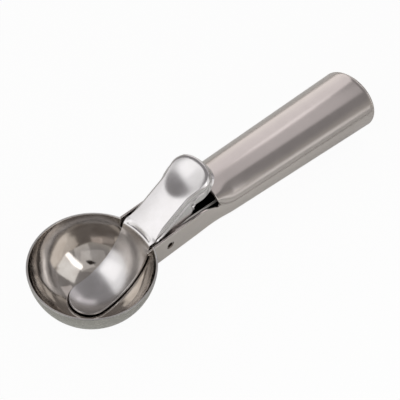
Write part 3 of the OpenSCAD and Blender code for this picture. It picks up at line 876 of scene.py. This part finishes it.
def steelParts(tree, look):
    # Stainless sheet. Smudges a few millimetres wide vary how sharp it reflects, a fine grain
    # scatters the light along the way it was rubbed, and a slow swell bends what it mirrors. The
    # real grain is finer than 0.1 mm and is drawn a few times as coarse, so that it shows.
    place3d = addNode(tree, "ShaderNodeTexCoord").outputs["Object"]
    stretched = addNode(tree, "ShaderNodeMapping", {"Scale": look["stretch"]},
                        {"Vector": place3d}).outputs[0]
    grain = addNode(tree, "ShaderNodeTexNoise",
                    {"Scale": 1000 / look["grain"], "Detail": 3.0, "Roughness": 0.6},
                    {"Vector": stretched}).outputs["Fac"]
    smudge = addNode(tree, "ShaderNodeTexNoise", {"Scale": 1000 / look["smudge"], "Detail": 4.0},
                     {"Vector": place3d}).outputs["Fac"]
    swell = addNode(tree, "ShaderNodeTexNoise", {"Scale": 1000 / look["swell"], "Detail": 1.0},
                    {"Vector": place3d}).outputs["Fac"]
    both = addNode(tree, "ShaderNodeMath", {"operation": "MULTIPLY_ADD", 1: look["grainShare"]},
                   {0: grain, 2: smudge}).outputs[0]
    low, high = look["roughness"]
    rough = addNode(tree, "ShaderNodeMapRange",
                    {"From Min": 0.3, "From Max": 0.7 + look["grainShare"], "To Min": low, "To Max": high},
                    {"Value": both}).outputs[0]
    tone = addNode(tree, "ShaderNodeMapRange",
                   {"From Min": 0.35, "From Max": 0.65 + look["grainShare"]},
                   {"Value": both}).outputs[0]
    colour = addNode(tree, "ShaderNodeMix", {"data_type": "RGBA"}, {"Factor": tone})
    colour.inputs[6].default_value = linear(look["dark"])
    colour.inputs[7].default_value = linear(look["light"])
    bend = addNode(tree, "ShaderNodeBump", {"Strength": 1.0, "Distance": look["swellHeight"] / 1000},
                   {"Height": swell}).outputs[0]
    bump = addNode(tree, "ShaderNodeBump", {"Strength": 1.0, "Distance": look["grainHeight"] / 1000},
                   {"Height": grain, "Normal": bend}).outputs[0]
    return addNode(tree, "ShaderNodeBsdfPrincipled", {"Metallic": look.get("metallic", 1.0)},
                   {"Base Color": colour.outputs[2], "Roughness": rough, "Normal": bump}).outputs[0]


def finishSteel(name, look):
    material, tree = newMaterial(name)
    addNode(tree, "ShaderNodeOutputMaterial", links={"Surface": steelParts(tree, look)})
    return material


def layeredSteel(name, looks, radii, centre, axes):
    # one finish after the other, changing at the given distances (mm) from a point
    material, tree = newMaterial(name)
    place3d = addNode(tree, "ShaderNodeTexCoord").outputs["Object"]
    away = addNode(tree, "ShaderNodeVectorMath", {"operation": "SUBTRACT", 1: centre.tolist()},
                   {0: place3d}).outputs[0]
    flat = addNode(tree, "ShaderNodeVectorMath", {"operation": "MULTIPLY", 1: axes}, {0: away}).outputs[0]
    reach = addNode(tree, "ShaderNodeVectorMath", {"operation": "LENGTH"}, {0: flat}).outputs["Value"]
    surface = steelParts(tree, looks[0])
    blur = 0.04
    for look, radius in zip(looks[1:], radii):
        past = addNode(tree, "ShaderNodeMapRange",
                       {"From Min": (radius - blur) / 1000, "From Max": (radius + blur) / 1000},
                       {"Value": reach}).outputs[0]
        surface = addNode(tree, "ShaderNodeMixShader",
                          links={0: past, 1: surface, 2: steelParts(tree, look)}).outputs[0]
    addNode(tree, "ShaderNodeOutputMaterial", links={"Surface": surface})
    return material


# One dictionary for each finish: colours, how sharp it reflects, then sizes in millimetres. The
# bowl's inside was buffed to a mirror after pressing, which left it slightly uneven.
polished = {"dark": "#bfb8b1", "light": "#d2cdc7", "roughness": (0.07, 0.13),
            "grain": 0.6, "grainShare": 0.1, "grainHeight": 0.0004, "stretch": (1, 1, 1),
            "smudge": 7.0, "swell": 11.0, "swellHeight": 0.3}
# The outside of the bowl is only tumbled, so it looks duller and mottled
tumbled = {"dark": "#9d9b96", "light": "#b9b7b1", "roughness": (0.2, 0.34),
           "grain": 0.9, "grainShare": 0.8, "grainHeight": 0.005, "stretch": (1, 1, 1),
           "smudge": 3.5, "swell": 9.0, "swellHeight": 0.03}
# The trimmed edge of the sheet is bright from the cut
trimmed = {"dark": "#d2d1d0", "light": "#e4e3e2", "roughness": (0.25, 0.35),
           "grain": 0.4, "grainShare": 0.6, "grainHeight": 0.003, "stretch": (1, 1, 1),
           "smudge": 4.0, "swell": 9.0, "swellHeight": 0.01}
# The handle was rubbed along its length to a satin, so its reflections have soft edges
satinHandle = {"dark": "#c9c3bf", "light": "#d4cdc9", "roughness": (0.16, 0.23),
               "grain": 0.5, "grainShare": 0.6, "grainHeight": 0.0022, "stretch": (0.25, 1, 1),
               "smudge": 9.0, "swell": 30.0, "swellHeight": 0.01}
# The lever has the same satin with shorter strokes, and is a little paler
satinLever = {"dark": "#cdcbca", "light": "#dddbdc", "roughness": (0.18, 0.26),
              "grain": 0.45, "grainShare": 0.7, "grainHeight": 0.002, "stretch": (0.5, 1, 1),
              "smudge": 6.0, "swell": 16.0, "swellHeight": 0.01}
# The pin was turned, which leaves faint rings round it
turned = {"dark": "#aaa6a1", "light": "#bfbbb6", "roughness": (0.2, 0.3),
          "grain": 0.3, "grainShare": 0.8, "grainHeight": 0.003, "stretch": (1, 0.2, 1),
          "smudge": 3.0, "swell": 5.0, "swellHeight": 0.005}
# The pin's hollow is painted dark brown: painted shade that stands in for the shadow deep inside the hollow
paintedHollowShade = {"dark": "#2c2420", "light": "#57493f", "roughness": (0.35, 0.5),
          "grain": 0.4, "grainShare": 0.8, "grainHeight": 0.004, "stretch": (1, 1, 1),
          "smudge": 1.5, "swell": 5.0, "swellHeight": 0.005}
# The spring's thin zinc coat is paler than steel and scatters some light
drawn = {"dark": "#dedcd8", "light": "#f4f2ee", "metallic": 0.4, "roughness": (0.2, 0.3),
         "grain": 0.3, "grainShare": 0.6, "grainHeight": 0.002, "stretch": (0.2, 1, 1),
         "smudge": 4.0, "swell": 9.0, "swellHeight": 0.004}
ballAt = place([[0, 0, bowl["ballUp"]]])[0]
pinAt = place([[pinX, 0, pinZ]])[0]
finishes = {
    "bowl": layeredSteel("polishedBowlSteel", [polished, trimmed, tumbled],
                         [bowlInside + 0.2, ballRadius - 0.15], ballAt, (1, 1, 1)),
    "handle": finishSteel("satinHandleSteel", satinHandle),
    "lever": finishSteel("satinLeverSteel", satinLever),
    # inside the bore's radius the pin is painted dark: painted shade for the hollow, turned steel outside
    # it
    "pin": layeredSteel("turnedPinSteelAndPaintedHollowShade", [paintedHollowShade, turned],
                        [pin["hollowDiameter"] / 2 + 0.2], pinAt, (1, 0, 1)),
    "spring": finishSteel("drawnSpringWire", drawn),
}


def dress(piece, body, node, slot):
    piece.data.materials.clear()
    piece.data.materials.append(finishes[slot])
    if body:
        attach(piece, body)
    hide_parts(node)


dress(pressedBowl, "root", "bowl", "bowl")
dress(formedHandle, "root", "handle", "handle")
dress(heelCap, "root", "heel_cap", "handle")
dress(pivotPin, "root", "pivot_pin", "pin")
dress(thumbLever, "lever", "thumb_lever", "lever")
dress(torsionSpring, None, "torsion_spring", "spring")
# Two points at the x of the short leg's end: one just above the coil's top and one at the end itself
blendFrom = place([[shortEnd[0], 0, pinZ + spring["coilRadius"] + spring["wire"] / 2 + 0.2]])[0]
blendTo = place([[shortEnd[0], 0, shortEnd[1]]])[0]
blendTo[0] = blendFrom[0]
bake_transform(torsionSpring)
print("pieces dressed")

# Studio
camera = {
    "azimuth": -48.4446,     # degrees, seen from the bowl's side
    "elevation": 50.9897,
    "roll": 5.3980,
    "lens": 90.0,            # mm
    "sensor": 36.0,
    "near": 0.01,            # metres
    "far": 50.0,
    "rimInView": (-45.81952, -27.33516, -425.19724),   # mm, the rim's middle as the camera sees it
}


def makeCamera():
    # the rows of axes are the camera's right, up and back
    a, e, roll = (math.radians(camera[k]) for k in ("azimuth", "elevation", "roll"))
    right = np.array([math.cos(a), math.sin(a), 0])
    up = np.array([-math.sin(a) * math.sin(e), math.cos(a) * math.sin(e), math.cos(e)])
    back = np.array([math.sin(a) * math.cos(e), -math.cos(a) * math.cos(e), math.sin(e)])
    axes = np.array([math.cos(roll) * right + math.sin(roll) * up,
                     -math.sin(roll) * right + math.cos(roll) * up, back])
    where = -axes.T @ np.array(camera["rimInView"])
    origin = place([[0, 0, 0]])[0]
    placed = np.array([place([axis])[0] - origin for axis in axes]) * 1000
    data = bpy.data.cameras.new("studioCamera")
    data.lens = camera["lens"]
    data.sensor_width = camera["sensor"]
    data.clip_start = camera["near"]
    data.clip_end = camera["far"]
    view = bpy.data.objects.new("studioCamera", data)
    matrix = Matrix.Identity(4)
    for k in range(3):
        for j in range(3):
            matrix[j][k] = placed[k][j]
        matrix[k][3] = place([where])[0][k]
    view.matrix_world = matrix
    bpy.context.scene.collection.objects.link(view)
    bpy.context.scene.camera = view


makeCamera()


def stageSheet(name, corners, material):
    # a flat sheet that isn't part of the scoop
    mesh = bpy.data.meshes.new(name)
    mesh.from_pydata(corners, [], [(0, 1, 2, 3)])
    mesh.materials.append(material)
    sheet = bpy.data.objects.new(name, mesh)
    bpy.context.scene.collection.objects.link(sheet)
    return sheet


studio = {
    "floorSize": 4.0,        # metres each way from the scoop
    "floorWhite": 0.95,      # share of plain white that the camera sees; the rest keeps the shadow
    "whiteInSteel": 0.05,    # the same share for what the steel mirrors
    "floorTint": "#dadcd8",
    "overhead": "#888586",   # what the steel mirrors of the room, from above down to the horizon
    "horizon": "#c2beb7",
    "lowBand": 0.5,          # height up to which the horizon's light reaches, 1 is straight up
}

# Each lamp: the point it faces, in the shapes' millimetres, then degrees round from +X to +Y and
# degrees up, metres away, metres across and up, and a brightness of which 1 mirrors as white
lamps = {
    "keyLight": {"aim": [45, 0, 5], "round": 148, "up": 35, "away": 0.6, "size": (0.86, 0.61),
                 "brightness": 0.78, "roll": 22.5},
    "keyCore": {"aim": [45, 0, 5], "round": 166, "up": 47, "away": 0.6, "size": (0.44, 0.34),
                "brightness": 0.36, "roll": 22.5},
    "stripLight": {"aim": [0, 0, -15], "round": 279, "up": 37, "away": 0.5, "size": (0.07, 0.42),
                   "brightness": 1.25, "roll": 8},
    "nearLight": {"aim": [0, 0, -15], "round": 299, "up": 38, "away": 0.2, "size": (0.15, 0.17),
                  "brightness": 0.72},
    "lowLight": {"aim": [110, 0, -5], "round": 303, "up": 5, "away": 0.8, "size": (0.28, 0.16),
                 "brightness": 0.42, "tint": "#f6f8ff"},
    "sideLight": {"aim": [110, 0, -5], "round": 45, "up": 28, "away": 0.6, "size": (0.36, 0.54),
                  "brightness": 0.66, "tint": "#fffafc"},
    "topLight": {"aim": [110, 0, -5], "round": 4, "up": 53, "away": 0.4, "size": (0.28, 0.17),
                 "brightness": 0.38, "tint": "#fffafc"},
    "backLight": {"aim": [0, 0, -10], "round": 252, "up": 42, "away": 0.8, "size": (0.43, 0.7),
                  "brightness": 0.28},
    "roomLight": {"aim": [0, 0, -10], "round": 228, "up": 52, "away": 0.8, "size": (0.7, 0.6),
                  "brightness": 0.16},
}


def makeFloor():
    # pale paper that glows nearly white where the camera sees it, and a little where steel does
    material, tree = newMaterial("paperFloor")
    path = addNode(tree, "ShaderNodeLightPath")
    glossy, through = path.outputs["Is Glossy Ray"], path.outputs["Is Transmission Ray"]
    mirrored = addNode(tree, "ShaderNodeMath", {"operation": "MAXIMUM"}, {0: glossy, 1: through}).outputs[0]
    direct = addNode(tree, "ShaderNodeMath", {"operation": "MULTIPLY", 1: studio["floorWhite"]},
                     {0: path.outputs["Is Camera Ray"]}).outputs[0]
    share = addNode(tree, "ShaderNodeMath", {"operation": "MULTIPLY_ADD", 1: studio["whiteInSteel"]},
                    {0: mirrored, 2: direct}).outputs[0]
    tint = addNode(tree, "ShaderNodeMix", {"data_type": "RGBA"}, {"Factor": mirrored})
    tint.inputs[6].default_value = linear("#ffffff")
    tint.inputs[7].default_value = linear(studio["floorTint"])
    paper = addNode(tree, "ShaderNodeBsdfDiffuse", {"Color": linear("#f9fbf8")})
    glow = addNode(tree, "ShaderNodeEmission", {"Strength": 1.0}, {"Color": tint.outputs[2]})
    both = addNode(tree, "ShaderNodeMixShader", links={0: share, 1: paper.outputs[0], 2: glow.outputs[0]})
    addNode(tree, "ShaderNodeOutputMaterial", links={"Surface": both.outputs[0]})
    size = studio["floorSize"]
    corners = [(-size, -size, 0), (size, -size, 0), (size, size, 0), (-size, size, 0)]
    stageSheet("studioFloor", corners, material)


def makeWorld():
    # a grey room, lighter towards the horizon, and plain white where the camera sees past the floor
    world = bpy.data.worlds.new("studioWorld")
    world.use_nodes = True
    tree = world.node_tree
    tree.nodes.clear()
    path = addNode(tree, "ShaderNodeLightPath")
    way = addNode(tree, "ShaderNodeTexCoord").outputs["Generated"]
    height = addNode(tree, "ShaderNodeSeparateXYZ", links={0: way}).outputs["Z"]
    climb = addNode(tree, "ShaderNodeMapRange", {"From Min": 0.0, "From Max": studio["lowBand"]},
                    {"Value": height}).outputs[0]
    tone = addNode(tree, "ShaderNodeMix", {"data_type": "RGBA"}, {"Factor": climb})
    tone.inputs[6].default_value = linear(studio["horizon"])
    tone.inputs[7].default_value = linear(studio["overhead"])
    room = addNode(tree, "ShaderNodeBackground", {"Strength": 1.0}, {"Color": tone.outputs[2]})
    white = addNode(tree, "ShaderNodeBackground", {"Color": linear("#ffffff"), "Strength": 1.0})
    mirrored = addNode(tree, "ShaderNodeMath", {"operation": "MULTIPLY", 1: studio["whiteInSteel"]},
                       {0: path.outputs["Is Glossy Ray"]}).outputs[0]
    direct = addNode(tree, "ShaderNodeMath", {"operation": "MAXIMUM"},
                     {0: path.outputs["Is Camera Ray"], 1: path.outputs["Is Transmission Ray"]}).outputs[0]
    share = addNode(tree, "ShaderNodeMath", {"operation": "MAXIMUM"}, {0: direct, 1: mirrored}).outputs[0]
    both = addNode(tree, "ShaderNodeMixShader", links={0: share, 1: room.outputs[0], 2: white.outputs[0]})
    addNode(tree, "ShaderNodeOutputWorld", links={"Surface": both.outputs[0]})
    bpy.context.scene.world = world


def softbox(name, lamp):
    # a lamp that faces its aim, turned about its own axis by its roll
    a, e, r = (math.radians(lamp.get(k, 0)) for k in ("round", "up", "roll"))
    back = np.array([math.cos(a) * math.cos(e), math.sin(a) * math.cos(e), math.sin(e)])
    level = np.array([-math.sin(a), math.cos(a), 0])
    upright = np.cross(back, level)
    right = math.cos(r) * level + math.sin(r) * upright
    up = np.cross(back, right)
    data = bpy.data.lights.new(name, "AREA")
    data.shape = "RECTANGLE"
    data.size, data.size_y = lamp["size"]
    data.energy = lamp["brightness"] * math.pi * lamp["size"][0] * lamp["size"][1]
    data.color = linear(lamp.get("tint", "#ffffff"))[:3]
    box = bpy.data.objects.new(name, data)
    matrix = Matrix.Identity(4)
    where = place([lamp["aim"]])[0] + back * lamp["away"]
    for k, axis in enumerate((right, up, back)):
        for j in range(3):
            matrix[j][k] = axis[j]
    for j in range(3):
        matrix[j][3] = where[j]
    box.matrix_world = matrix
    box.visible_camera = False
    bpy.context.scene.collection.objects.link(box)


makeFloor()
makeWorld()
for lampName, lamp in lamps.items():
    softbox(lampName, lamp)


def darkCard(name, corners, tone):
    # a dark card that only the steel mirrors, as it mirrors a camera or the edge of a table
    material, tree = newMaterial(name)
    card = addNode(tree, "ShaderNodeEmission", {"Color": linear(tone), "Strength": 1.0})
    addNode(tree, "ShaderNodeOutputMaterial", links={"Surface": card.outputs[0]})
    sheet = stageSheet(name, corners, material)
    sheet.visible_camera = False
    sheet.visible_diffuse = False
    sheet.visible_shadow = False
    sheet.visible_transmission = False


# The first card lies on the floor, in metres. The second's corners are in the shapes' millimetres.
floorCorners = [(-0.03, -0.084, 0.0004), (0.22, -0.084, 0.0004), (0.22, -0.064, 0.0004),
                (-0.03, -0.064, 0.0004)]
lensCorners = [[-84, -112, 148], [-44, -126, 150], [-60, -96, 190], [-110, -86, 186]]
darkCard("floorCard", floorCorners, "#8c8a88")
darkCard("lensCard", place(lensCorners).tolist(), "#2a2422")
bpy.context.scene.view_settings.view_transform = "Standard"
print("studio set")
